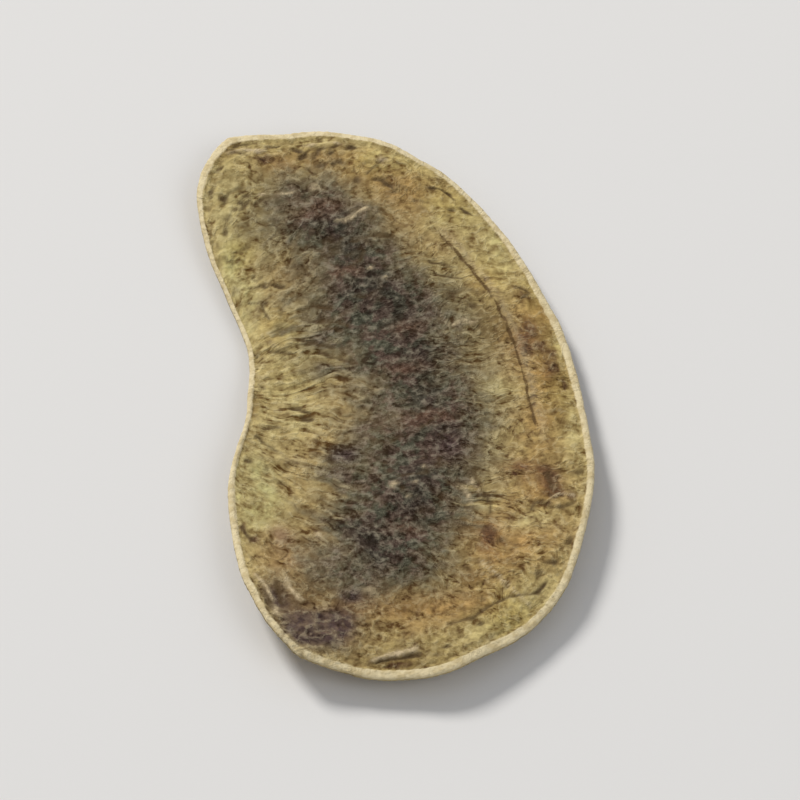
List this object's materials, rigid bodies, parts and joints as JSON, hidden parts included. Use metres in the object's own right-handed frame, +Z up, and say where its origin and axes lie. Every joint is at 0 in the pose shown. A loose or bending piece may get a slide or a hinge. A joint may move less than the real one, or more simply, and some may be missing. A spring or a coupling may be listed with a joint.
{
  "type": "senna pod",
  "caption": "Dried senna pod: a flat, kidney-shaped, papery seed pod with a low seeded belly and a thin corded rim, lying on its flat side.",
  "frame": {"origin": "middle of the pod's box in plan, on the surface that it lies on", "axes": "+Y along the pod towards its flower end, +Z up through the flat pod, the hollow side of the kidney faces -X"},
  "size_m": [0.0218, 0.042, 0.0026],
  "materials": {
    "pod_skin": "matte"
  },
  "bodies": {
    "root": {"pod": "pod_skin"}
  },
  "joints": []
}
